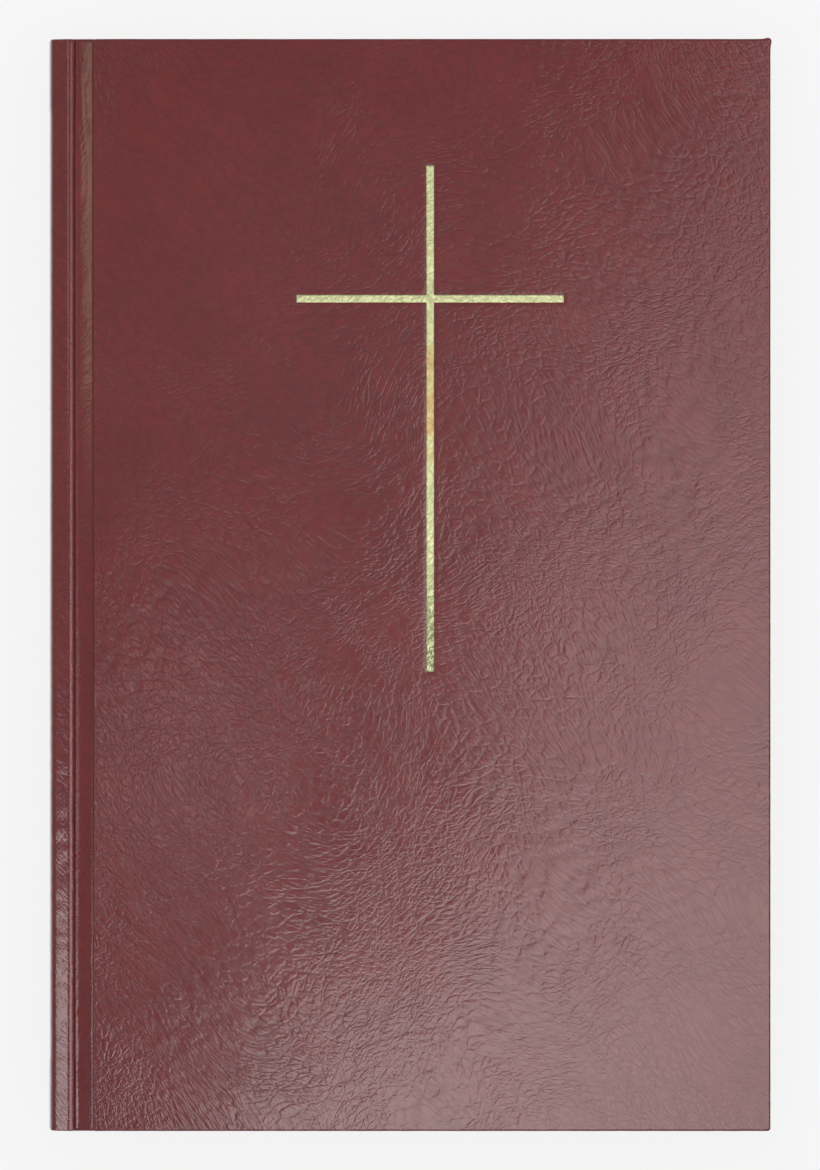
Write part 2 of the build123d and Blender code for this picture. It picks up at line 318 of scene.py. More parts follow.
def foil_material():
    """Pale gold blocking foil with the grain pressed through it, painted shade in its creases and painted
    dark sparkle towards its foot.
    """
    nodes = Nodes("gold_foil")
    height, crease = grain_height(nodes)
    crackle = nodes.noise(nodes.laid(nodes.place, 58, 1.8, 0.9), 2.4, 4.0, 0.65, distortion=0.8)
    up = nodes.add("SeparateXYZ", {"Vector": nodes.place}, 1)
    from_warm = nodes.math("ABSOLUTE", nodes.math("SUBTRACT", up, 36.0))
    patchy = nodes.remap(nodes.noise(nodes.place, 0.3, 3.0), 0.3, 0.6, 0.3, 1.0)
    warm = nodes.math("MULTIPLY", nodes.remap(from_warm, 4.0, 19.0, 1.0, 0.0), patchy)
    base = nodes.mix(warm, srgb(200, 202, 154), srgb(196, 166, 112))
    base = nodes.mix(nodes.remap(crackle, 0.45, 0.75, 0.0, 0.4), base, srgb(140, 130, 84))
    # Painted reflection: dark green-grey patches towards the foot of the cross, the dark half of the
    # crumpled foil's sparkle.
    painted_sparkle = nodes.math("MULTIPLY", nodes.remap(up, -17.0, 14.0, 1.0, 0.0), nodes.remap(crackle, 0.4, 0.55))
    base = nodes.mix(painted_sparkle, base, srgb(92, 100, 66))
    # Painted shade: the foil darkens to brown gold in the creases, where shade falls.
    base = nodes.mix(nodes.math("MULTIPLY", crease, 0.3), base, srgb(120, 104, 70))
    height = nodes.math("MULTIPLY_ADD", crackle, 0.8, height)
    rough = nodes.remap(crackle, 0.3, 0.7, 0.3, 0.45)
    normal = nodes.bump(height, 0.00016)
    return nodes.finish(base_color=base, roughness=rough, normal=normal, metallic=0.6)


def paper_face_material(name, light, dark):
    """A sheet's face: faint fibres and clouding."""
    nodes = Nodes(name)
    fibre = nodes.noise(nodes.scaled(nodes.place, (1.2, 4.0, 1.2)), 1.6, 4.0, 0.65)
    cloud = nodes.noise(nodes.place, 0.12, 3.0)
    base = nodes.mix(nodes.remap(cloud, 0.35, 0.65, 0.0, 0.5), light, dark)
    base = nodes.mix(nodes.remap(fibre, 0.5, 0.8, 0.0, 0.25), base, dark)
    rough = nodes.remap(fibre, 0.3, 0.7, 0.72, 0.86)
    return nodes.finish(base_color=base, roughness=rough, normal=nodes.bump(fibre, 0.00002), ior=1.45)


def page_edge_material():
    """The trimmed edges of hundreds of thin leaves: fine lines that run along the block."""
    nodes = Nodes("page_edges")
    waver = nodes.noise(nodes.scaled(nodes.place, (0.05, 0.05, 0.3)), 1.0, 2.0)
    line_place = nodes.scaled(nodes.place, (0.035, 0.035, 9.0))
    lift = nodes.add("CombineXYZ", {"Z": nodes.math("MULTIPLY", waver, 1.6)})
    lines = nodes.noise(nodes.vector_math("ADD", line_place, lift), 1.0, 3.0, 0.7)
    broad = nodes.noise(nodes.scaled(nodes.place, (0.02, 0.02, 1.1)), 1.0, 2.0)
    base = nodes.mix(nodes.remap(lines, 0.36, 0.66), srgb(206, 194, 166), srgb(240, 233, 214))
    base = nodes.mix(nodes.remap(broad, 0.35, 0.65, 0.0, 0.4), base, srgb(216, 203, 174))
    handled = nodes.remap(nodes.noise(nodes.place, 0.06, 3.0), 0.5, 0.75, 0.0, 0.3)
    base = nodes.mix(handled, base, srgb(190, 172, 140))
    rough = nodes.remap(lines, 0.3, 0.7, 0.66, 0.84)
    return nodes.finish(base_color=base, roughness=rough, normal=nodes.bump(lines, 0.00006), ior=1.45)


def headband_material():
    """Rolled cotton with red and cream stripes and a fine weave."""
    nodes = Nodes("headband_cloth")
    stripe_pitch, weave_pitch = 1.6, 0.28
    split = nodes.tree.nodes.new("ShaderNodeSeparateXYZ")
    nodes.put(split.inputs[0], nodes.place)
    wave = nodes.math("SINE", nodes.math("MULTIPLY", split.outputs["Z"], 2 * math.pi / stripe_pitch))
    weave = nodes.math("SINE", nodes.math("MULTIPLY", split.outputs["X"], 2 * math.pi / weave_pitch))
    base = nodes.mix(nodes.remap(wave, -0.15, 0.15), srgb(226, 216, 192), srgb(126, 30, 34))
    fuzz = nodes.noise(nodes.place, 6.0, 3.0, 0.7)
    base = nodes.mix(nodes.remap(fuzz, 0.4, 0.7, 0.0, 0.3), base, srgb(90, 60, 50))
    normal = nodes.bump(nodes.math("MULTIPLY_ADD", weave, 0.3, fuzz), 0.00008)
    return nodes.finish(base_color=base, roughness=0.85, normal=normal, sheen_weight=0.2)


def weave_material(name, light, dark, pitch):
    """An open or close woven cloth, used for mull and thread."""
    nodes = Nodes(name)
    where = nodes.add("TexCoord", {}, output="Object")
    split = nodes.tree.nodes.new("ShaderNodeSeparateXYZ")
    nodes.put(split.inputs[0], where)
    count = 2 * math.pi / (pitch * MM)
    warp = nodes.math("SINE", nodes.math("MULTIPLY", split.outputs["Y"], count))
    weft = nodes.math("SINE", nodes.math("MULTIPLY", split.outputs["Z"], count))
    cloth = nodes.math("MAXIMUM", warp, weft)
    base = nodes.mix(nodes.remap(cloth, -0.2, 0.6), dark, light)
    return nodes.finish(base_color=base, roughness=0.9, normal=nodes.bump(cloth, 0.00005))


def fibre_material(name, light, dark, rough, scale):
    """Board, card, kraft paper or dried glue: clouded, with coarse fibres or bubbles."""
    nodes = Nodes(name)
    where = nodes.add("TexCoord", {}, output="Object")
    fibre = nodes.noise(where, scale, 4.0, 0.7)
    base = nodes.mix(nodes.remap(fibre, 0.35, 0.65), dark, light)
    roughness = nodes.remap(fibre, 0.3, 0.7, rough - 0.08, rough + 0.06)
    return nodes.finish(base_color=base, roughness=roughness, normal=nodes.bump(fibre, 0.00004))


LEATHER = leather_material("burgundy_cover_material")
PRESSED_LEATHER = leather_material("burgundy_pressed_in_groove", 0.45)
SPINE_LEATHER = leather_material("burgundy_spine_material", 0.6)
FOIL = foil_material()
PAGE_EDGES = page_edge_material()
PAGE_FACE = paper_face_material("page_paper", srgb(243, 238, 222), srgb(236, 229, 209))
ENDPAPER = paper_face_material("endpaper", srgb(238, 230, 208), srgb(228, 218, 192))
HEADBAND = headband_material()
CAD_FINISH = {
    "binders_board": fibre_material("binders_board", srgb(150, 138, 120), srgb(118, 106, 90), 0.9, 900),
    "inlay_card": fibre_material("inlay_card", srgb(176, 160, 132), srgb(150, 134, 108), 0.88, 700),
    "lining_paper": fibre_material("lining_paper", srgb(170, 136, 98), srgb(142, 110, 76), 0.82, 1100),
    "spine_glue": fibre_material("spine_glue", srgb(222, 208, 170), srgb(202, 184, 142), 0.35, 500),
    "mull": weave_material("mull", srgb(226, 222, 208), srgb(150, 142, 122), 0.9),
    "thread": weave_material("thread", srgb(232, 226, 208), srgb(196, 186, 160), 0.35),
}


# The cover panels
def edge_lines(low, high, stops, step):
    """Lines across one side of a panel, closer together near its two edges."""
    near = [0.0, 0.07, 0.14, 0.22, 0.6, 1.1]
    ends = [low + n for n in near] + [high - n for n in reversed(near)]
    return ruled_lines(sorted(ends + list(stops)), step)


def in_cross(x, y, margin):
    """1 inside the strokes of the cross, falling to 0 over the margin outside them."""
    def band(value, low, high):
        return smooth(value, low - margin, low) * (1 - smooth(value, high, high + margin))
    upright = band(x, CROSS_X - STROKE_HALF, CROSS_X + STROKE_HALF) * band(y, CROSS_FOOT, CROSS_TOP)
    arm = band(y, CROSS_Y - STROKE_HALF, CROSS_Y + STROKE_HALF)
    arm = arm * band(x, CROSS_X - CROSS_HALF_SPAN, CROSS_X + CROSS_HALF_SPAN)
    return np.maximum(upright, arm)


def panel_relief(x, y, front):
    """Height of a panel's outer face over its nominal plane."""
    seed = 11 if front else 47
    grain = grain_relief(x, y, seed)
    if not front:
        return undulation(-x, y) + grain
    pressed = in_cross(x, y, BLOCKING_MARGIN)
    return undulation(x, y) + grain * (1 - 0.45 * pressed) - BLOCKING_DEPTH * pressed


# The rounding of a covered board's outer edges, inner edges and corners, the share of it along the
# groove, and the thickness of the turned-in material
EDGE_ROUND, FOOT_ROUND, CORNER = 0.4, 0.35, 0.2
HINGE_EDGE_SHARE = 0.35
TURN_IN_THICKNESS = 0.28


def cover_panel(front):
    """The cover material round one board: outer face, rounded edges and turn-ins, as one closed shell."""
    x_low, x_high = BOARD_X + EDGE_ROUND * HINGE_EDGE_SHARE, FORE_X - EDGE_ROUND
    y_low, y_high = -HEAD_Y + EDGE_ROUND, HEAD_Y - EDGE_ROUND
    stops_x, stops_y, margin = [], [], BLOCKING_MARGIN
    if front:
        for middle, half, stops in ((CROSS_X, STROKE_HALF, stops_x), (CROSS_Y, STROKE_HALF, stops_y)):
            stops += [middle - half - margin, middle - half, middle + half, middle + half + margin]
        stops_x += [CROSS_X - CROSS_HALF_SPAN - margin, CROSS_X - CROSS_HALF_SPAN]
        stops_x += [CROSS_X + CROSS_HALF_SPAN, CROSS_X + CROSS_HALF_SPAN + margin]
        stops_y += [CROSS_FOOT - margin, CROSS_FOOT, CROSS_TOP, CROSS_TOP + margin]
    xs = edge_lines(x_low, x_high, stops_x, PANEL_STEP)
    ys = edge_lines(y_low, y_high, stops_y, PANEL_STEP)
    columns, rows = len(xs), len(ys)
    gx, gy = np.meshgrid(xs, ys, indexing="ij")
    flat_x, flat_y = gx.ravel(), gy.ravel()
    index = np.arange(columns * rows).reshape(columns, rows)
    loop = np.concatenate([index[:-1, 0], index[-1, :-1], index[:0:-1, -1], index[0, :0:-1]])
    bx, by = flat_x[loop], flat_y[loop]
    qx = np.clip(bx, x_low + CORNER, x_high - CORNER)
    qy = np.clip(by, y_low + CORNER, y_high - CORNER)
    length = np.hypot(bx - qx, by - qy)
    nx, ny = (bx - qx) / length, (by - qy) / length
    flat_x[loop], flat_y[loop] = qx + CORNER * nx, qy + CORNER * ny
    relief = panel_relief(flat_x, flat_y, front)
    top = np.stack([flat_x, flat_y, THICKNESS + relief], -1)
    edge_relief = relief[loop]
    points, places = [top], [np.stack([flat_x, flat_y, np.zeros_like(relief)], -1)]

    def ring(out, z, fade, walked):
        """A loop round the panel, out from its flat face's outline, at one height."""
        x = qx + nx * (CORNER + out * np.where(nx < 0, HINGE_EDGE_SHARE, 1.0))
        y = qy + ny * (CORNER + out)
        wobble = 0.03 * gradient_noise(x / 3 + z, y / 3 - z, 7)
        wobble += 0.3 * mound(x, y, FORE_X, HEAD_Y, 1.1, 1.1) * smooth(z, 30.5, 31.4)
        points.append(np.stack([x + nx * wobble, y + ny * wobble, z + edge_relief * fade], -1))
        places.append(np.stack([x + nx * walked, y + ny * walked, np.zeros_like(x)], -1))

    def frame_ring(x0, x1, y1, z, walked):
        """A loop on the inside of the board, on a rectangle of its own."""
        x = x0 + (bx - x_low) / (x_high - x_low) * (x1 - x0)
        y = by / y_high * y1
        points.append(np.stack([x, y, np.full(len(x), z)], -1))
        places.append(np.stack([x + nx * walked, y + ny * walked, np.zeros_like(x)], -1))

    for part in range(1, 7):
        turn = part / 6 * math.pi / 2
        run = EDGE_ROUND * turn
        z = THICKNESS - EDGE_ROUND * (1 - math.cos(turn))
        ring(EDGE_ROUND * math.sin(turn), z, 1 - part / 10, run)
    for part, z in enumerate((30.9, 30.4, 29.9, BOARD_BOTTOM + FOOT_ROUND)):
        ring(EDGE_ROUND, z, 0.3 - part / 10, run + THICKNESS - EDGE_ROUND - z)
    for turn in (math.pi / 4, math.pi / 2):
        out = EDGE_ROUND - FOOT_ROUND * (1 - math.cos(turn))
        ring(out, BOARD_BOTTOM + FOOT_ROUND * (1 - math.sin(turn)), 0.0, 3.2)
    inner_x = BOARD_X + 0.5
    for share in (0.12, 0.3, 0.65, 1.0):
        x1, y1 = FORE_X - 0.4 - (TURN_IN - 0.4) * share, HEAD_Y - 0.4 - (TURN_IN - 0.4) * share
        x0 = BOARD_X + 0.38 + (inner_x - BOARD_X - 0.38) * share
        frame_ring(x0, x1, y1, BOARD_BOTTOM, -TURN_IN * share)
    wall = 0.52
    frame_ring(inner_x, FORE_X - TURN_IN, HEAD_Y - TURN_IN, BOARD_BOTTOM + TURN_IN_THICKNESS, -TURN_IN)
    frame_ring(inner_x, FORE_X - wall, HEAD_Y - wall, BOARD_BOTTOM + TURN_IN_THICKNESS, 0)
    frame_ring(inner_x, FORE_X - wall, HEAD_Y - wall, THICKNESS - 0.48, 0)
    faces = [list(f) for f in grid_faces(columns, rows, flip=True)]
    count, first = len(loop), columns * rows
    following = np.roll(np.arange(count), -1)
    rings = [loop] + [first + number * count + np.arange(count) for number in range(len(points) - 1)]
    for upper, lower in zip(rings, rings[1:]):
        quads = np.stack([upper, lower, lower[following], upper[following]], -1)
        faces += quads.tolist()
    faces.append(rings[-1][::-1].tolist())
    points, places = np.concatenate(points), np.concatenate(places)
    if not front:
        points, faces = mirror_z(points), flipped(faces)
        places = places * (-1, 1, 1)
    side = "front" if front else "back"
    piece = make_piece(f"{side}_cover_leather", points, faces, [LEATHER], places)
    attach(piece, f"{side}_cover")
    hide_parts(f"{side}_cover_skin")
    return piece


def foil_cross():
    """The foil in the blocked strokes, a thin closed sheet that follows the grain under it."""
    inset, step = 0.03, 0.26
    half = STROKE_HALF - inset
    arm_low, arm_high = CROSS_X - CROSS_HALF_SPAN + inset, CROSS_X + CROSS_HALF_SPAN - inset
    xs = ruled_lines([arm_low, CROSS_X - half, CROSS_X + half, arm_high], step)
    ys = ruled_lines([CROSS_FOOT + inset, CROSS_Y - half, CROSS_Y + half, CROSS_TOP - inset], step)
    gx, gy = np.meshgrid(xs, ys, indexing="ij")
    cell_x, cell_y = (gx[:-1, :-1] + gx[1:, 1:]) / 2, (gy[:-1, :-1] + gy[1:, 1:]) / 2
    kept = (np.abs(cell_x - CROSS_X) < half) | (np.abs(cell_y - CROSS_Y) < half)
    quads = grid_faces(len(xs), len(ys), flip=True)[kept.ravel()]
    used, quads = np.unique(quads, return_inverse=True)
    quads = quads.reshape(-1, 4)
    x, y = gx.ravel()[used], gy.ravel()[used]
    ragged = 0.035 * gradient_noise(x / 0.9, y / 0.9, 5)
    crumple = 0.018 * gradient_noise(x / 0.7, y / 0.7, 6)
    lift, foil_thickness = 0.055, 0.05
    z = THICKNESS + panel_relief(x, y, True) + lift + crumple
    top = np.stack([x + ragged, y, z], -1)
    bottom = top - (0, 0, foil_thickness)
    count = len(x)
    edges = {}
    for face in quads.tolist():
        for a, b in zip(face, face[1:] + face[:1]):
            if (b, a) in edges:
                del edges[(b, a)]
            else:
                edges[(a, b)] = True
    faces = quads.tolist() + (quads[:, ::-1] + count).tolist()
    faces += [[b, a, a + count, b + count] for a, b in edges]
    piece = make_piece("cross_gold_foil", np.concatenate([top, bottom]), faces, [FOIL])
    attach(piece, "front_cover")
    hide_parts("cross_foil")


# The spine and the grooves
def arc_points(centre_x, centre_z, radius, start, end, count):
    """Points of an arc between two angles in degrees."""
    angles = np.radians(np.linspace(start, end, count))
    return np.stack([centre_x + radius * np.cos(angles), centre_z + radius * np.sin(angles)], -1)


def resampled(line, step):
    """Evenly spaced points along a polyline, and how far along each lies."""
    gaps = np.hypot(*np.diff(line, axis=0).T)
    walked = np.concatenate([[0], np.cumsum(gaps)])
    stations = np.linspace(0, walked[-1], max(2, round(walked[-1] / step) + 1))
    found = np.stack([np.interp(stations, walked, line[:, axis]) for axis in (0, 1)], -1)
    return found, stations


def bezier(start, start_pull, end_pull, end, count):
    """Points of a cubic curve in x and z."""
    t = np.linspace(0, 1, count)[:, None]
    a, b, c, d = (np.array(p) for p in (start, start_pull, end_pull, end))
    return a * (1 - t) ** 3 + 3 * b * t * (1 - t) ** 2 + 3 * c * t * t * (1 - t) + d * t**3


def groove_fall():
    """The front shoulder's drop into the groove, which the spine and groove pieces share."""
    return bezier((-65.7, 31.59), (-65.15, 31.755), (-64.95, 30.98), (-64.0, 30.95), 60)


def spine_profile():
    """The outer line of the spine as x and z, from the front groove over both shoulders to the back one."""
    round_radius = 150.0
    centre = SPINE_X + round_radius
    fall = groove_fall()
    fall = fall[fall[:, 0] <= SHOULDER_X + 0.02][::-1]
    crest = bezier(fall[-1], (-66.3, 31.41), (-67.6, 31.02), (-68.4, 30.78), 18)
    low_z = 29.0
    low_x = centre - math.sqrt(round_radius**2 - (low_z - MIDDLE_Z) ** 2)
    corner = bezier(crest[-1], (-68.8, 30.66), (low_x + 0.05, 30.1), (low_x, low_z), 20)
    turn = math.degrees(math.asin((low_z - MIDDLE_Z) / round_radius))
    back = arc_points(centre, MIDDLE_Z, round_radius, 180 - turn, 180, 60)
    upper = np.concatenate([fall, crest[1:], corner[1:], back[1:]])
    lower = upper[::-1][1:] * (1, -1) + (0, THICKNESS)
    return np.concatenate([upper, lower])


def outward(line):
    """Unit normals of a polyline in x and z, a quarter turn anticlockwise from its direction."""
    along = np.gradient(line, axis=0)
    along /= np.hypot(*along.T)[:, None]
    return np.stack([-along[:, 1], along[:, 0]], -1)


def outward_faces(piece):
    """Turns every face of a closed mesh outwards."""
    work = bmesh.new()
    work.from_mesh(piece.data)
    bmesh.ops.recalc_face_normals(work, faces=work.faces)
    work.to_mesh(piece.data)
    work.free()


def spine_leather():
    """The cover material over the spine, turned in over the inlay at head and tail, as one closed shell."""
    line, stations = resampled(spine_profile(), 0.5)
    normal = outward(line)
    if normal[len(line) // 2, 0] > 0:
        normal = -normal
    height = np.abs(line[:, 1] - MIDDLE_Z)
    depth = 0.95 + 0.65 * (1 - smooth(height, 12.2, 13.2)) - 0.15 * smooth(height, 14.6, 15.4)
    end, fold_end, turned_end = HEAD_Y, HEAD_Y - 1.3, HEAD_Y - 13.5
    skin_thickness, turned_thickness = 0.49, 0.3
    ys = ruled_lines([-end + LIP, end - LIP], LEATHER_STEP)
    u = stations - stations[-1] / 2
    grain_u = u + 300
    points, places, rows = [], [], 0

    def row(y, inward, walked, fade):
        """One line across the spine, so far inward of its outer face, so far along the material."""
        nonlocal rows
        gx, gz = line[:, 0], line[:, 1]
        relief = grain_relief(grain_u, np.full_like(u, walked), 23) * fade
        slack = smooth(-walked, 15, 35) * (1 - smooth(-walked, 78, 90))
        cockle = (0.02 + 0.045 * slack) * gradient_noise(u / 7, np.full_like(u, walked / 2.1), 29)
        cockle = (cockle + 0.07 * smooth(abs(walked), 91.2, 92.2)) * fade
        shift = relief + cockle - inward
        x, z = gx + normal[:, 0] * shift, gz + normal[:, 1] * shift
        points.append(np.stack([x, np.full_like(u, y), z], -1))
        places.append(np.stack([grain_u, np.full_like(u, walked), np.zeros_like(u)], -1))
        rows += 1

    turns = [math.pi / 2 * part / 5 for part in range(1, 6)]
    for turn in reversed(turns):
        out, walked = LIP * (1 - math.cos(turn)), -end + LIP - LIP * turn
        row(-end + LIP - LIP * math.sin(turn), out, walked, 1 - turn / 2)
    for y in ys:
        row(y, 0.0, y, 1.0)
    for turn in turns:
        out, walked = LIP * (1 - math.cos(turn)), end - LIP + LIP * turn
        row(end - LIP + LIP * math.sin(turn), out, walked, 1 - turn / 2)
    inner = [math.pi / 2 * part / 4 for part in range(0, 5)]
    for turn in inner:
        row(end - LIP + LIP * math.cos(turn), depth - LIP * (1 - math.sin(turn)), end, 0.2)
    for y in (end - 5, turned_end):
        row(y, depth, y, 0.0)
    for y in (turned_end, fold_end):
        row(y, depth - turned_thickness, y, 0.0)
    for y in (fold_end, -fold_end):
        row(y, skin_thickness, y, 0.0)
    for y in (-fold_end, -turned_end):
        row(y, depth - turned_thickness, y, 0.0)
    for y in (-turned_end, -end + 5):
        row(y, depth, y, 0.0)
    for turn in reversed(inner):
        row(-end + LIP - LIP * math.cos(turn), depth - LIP * (1 - math.sin(turn)), -end, 0.2)
    columns = len(line)
    faces = grid_faces(rows, columns).tolist()
    last = (rows - 1) * columns
    faces += [[last + c, last + c + 1, c + 1, c] for c in range(columns - 1)]
    faces.append([r * columns for r in range(rows)])
    faces.append([r * columns + columns - 1 for r in range(rows)][::-1])
    points, places = np.concatenate(points), np.concatenate(places)
    piece = make_piece("spine_leather", points, faces, [SPINE_LEATHER], places)
    outward_faces(piece)
    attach(piece, "text_block")
    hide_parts("spine_skin")


def groove_profile():
    """The outer line of the front groove, from the shoulder's slope along its rising floor to the board."""
    fall = groove_fall()
    fall = fall[fall[:, 0] >= SHOULDER_X - 0.02]
    bottom = bezier(fall[-1], (-63.2, 30.95), (-62.0, 31.08), (-61.1, 31.2), 20)
    rise = np.array([[BOARD_X - 0.02, 31.28], [BOARD_X, 31.42]])
    return np.concatenate([fall, bottom[1:], rise])


def groove_strip(front):
    """The cover material in one groove, a closed strip between the spine and the cover."""
    overlap, underside, grain_offset = 0.04, 29.12, 200
    line, stations = resampled(groove_profile(), 0.25)
    line[0, 0] -= overlap
    line[-1, 0] += overlap
    side = "front" if front else "back"
    ys = ruled_lines([-HEAD_Y + 0.2, HEAD_Y - 0.2], LEATHER_STEP)
    outline_low = np.stack([line[:, 0], np.full(len(line), underside)], -1)
    section = np.concatenate([line, outline_low[::-1]])
    points, places, count = [], [], len(section)
    walked = np.concatenate([stations, stations[::-1]])
    for y in np.concatenate([[-HEAD_Y], ys, [HEAD_Y]]):
        inset = LIP if abs(y) == HEAD_Y else 0.0
        z = section[:, 1].copy()
        z[: len(line)] -= inset
        relief = grain_relief(walked + grain_offset, np.full(count, y), 61) * 0.6
        relief += 0.04 * gradient_noise(walked / 4, np.full(count, y / 7), 63)
        relief[len(line):] = 0
        relief[:2] = relief[len(line) - 2:len(line)] = 0
        points.append(np.stack([section[:, 0], np.full(count, y), z + relief], -1))
        places.append(np.stack([walked + grain_offset, np.full(count, y), np.zeros_like(walked)], -1))
    rows = len(points)
    faces = grid_faces(rows, count, wrap=True).tolist()
    faces.append(list(range(count)))
    faces.append([(rows - 1) * count + c for c in reversed(range(count))])
    points = np.concatenate(points)
    if not front:
        points = mirror_z(points)
    piece = make_piece(f"{side}_groove_leather", points, faces, [PRESSED_LEATHER], np.concatenate(places))
    outward_faces(piece)
    bend(piece)
    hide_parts(f"{side}_joint_cloth")


def bend(piece):
    """Bakes the piece's placement into its mesh."""
    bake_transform(piece)


def thin_sheet(name, xs, ys, z_function, thickness, materials, front):
    """A closed sheet over a grid of lines, with its top at z_function(x, y)."""
    gx, gy = np.meshgrid(xs, ys, indexing="ij")
    x, y = gx.ravel(), gy.ravel()
    top = z_function(x, y)
    points = np.concatenate([np.stack([x, y, top], -1), np.stack([x, y, top - thickness], -1)])
    columns, rows = len(xs), len(ys)
    faces = grid_faces(columns, rows, flip=True).tolist()
    faces += grid_faces(columns, rows, first=columns * rows).tolist()
    index = np.arange(columns * rows).reshape(columns, rows)
    loop = np.concatenate([index[:-1, 0], index[-1, :-1], index[:0:-1, -1], index[0, :0:-1]])
    following = np.roll(loop, -1)
    lower = columns * rows
    sides = np.stack([loop, loop + lower, following + lower, following], -1)
    face_material = [0] * len(faces) + [min(1, len(materials) - 1)] * len(sides)
    faces += sides.tolist()
    place = points.copy()
    if not front:
        points, faces = mirror_z(points), flipped(faces)
    return make_piece(name, points, faces, materials, place, face_material)


def groove_endpaper(front):
    """The endpaper across one hinge, on the inside of the cover material."""
    side = "front" if front else "back"
    top = 29.08
    xs = ruled_lines([SHOULDER_X - 0.4, SHOULDER_X, BOARD_X + 0.3], 0.25)
    ys = ruled_lines([-PAGE_HEAD, PAGE_HEAD], 3.0)

    def height(x, y):
        return np.full_like(x, top)

    piece = thin_sheet(f"{side}_groove_endpaper", xs, ys, height, 0.1, [ENDPAPER, ENDPAPER], front)
    bend(piece)


def pastedown(front):
    """The endpaper glued to the board, with the turn-ins and mull showing through as low steps."""
    side = "front" if front else "back"
    inner_x, inner_y = FORE_X - TURN_IN, HEAD_Y - TURN_IN
    step_x, step_y = (inner_x - 0.5, inner_x + 0.4), (inner_y - 0.5, inner_y + 0.4)
    mull_low, mull_high = BOARD_X + 24.2, BOARD_X + 25
    xs = ruled_lines([BOARD_X, mull_low, mull_high, *step_x, PAGE_FORE], ENDPAPER_STEP)
    ys = ruled_lines([-PAGE_HEAD, -step_y[1], -step_y[0], *step_y, PAGE_HEAD], ENDPAPER_STEP)

    def height(x, y):
        middle = (1 - smooth(x, *step_x)) * (1 - smooth(np.abs(y), *step_y))
        mull = 1 - smooth(x, mull_low, mull_high)
        ripple = 0.02 * gradient_noise(x / 12, y / 12, 71)
        return BOARD_BOTTOM - 0.01 + 0.06 * middle * (1 - 0.5 * mull) - 0.03 + ripple * middle

    piece = thin_sheet(f"{side}_pastedown_sheet", xs, ys, height, 0.11, [ENDPAPER, ENDPAPER], front)
    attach(piece, f"{side}_cover")
    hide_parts(f"{side}_pastedown")


def leaf_sheet(side, number):
    """One leaf, a thin closed sheet."""
    front = side == "front"
    name = f"{side}_leaf_{number}" if number else f"{side}_flyleaf"
    trim = 0.12 * (((number * 7 + (0 if front else 3)) % 5) / 4 - 0.5)
    xs = ruled_lines([SHOULDER_X + 0.5, -40, PAGE_FORE - 0.1 + trim], 1.6)
    xs = np.concatenate([ruled_lines([SHOULDER_X + 0.5, -36], 0.7), xs[xs > -35.9]])
    ys = ruled_lines([-PAGE_HEAD + 0.05, PAGE_HEAD - 0.05 + trim / 2], 5.0)
    top = FLYLEAF_TOP - number * LEAF_PITCH

    def height(x, y):
        return top + 0.012 * gradient_noise(x / 26, y / 26, 80 + number)

    faces = ENDPAPER if number == 0 else PAGE_FACE
    piece = thin_sheet(f"{name}_sheet", xs, ys, height, 0.09, [faces, PAGE_EDGES], front)
    bend(piece)
    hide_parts(name)


# The text block
LEAVES_SHOWN = 9


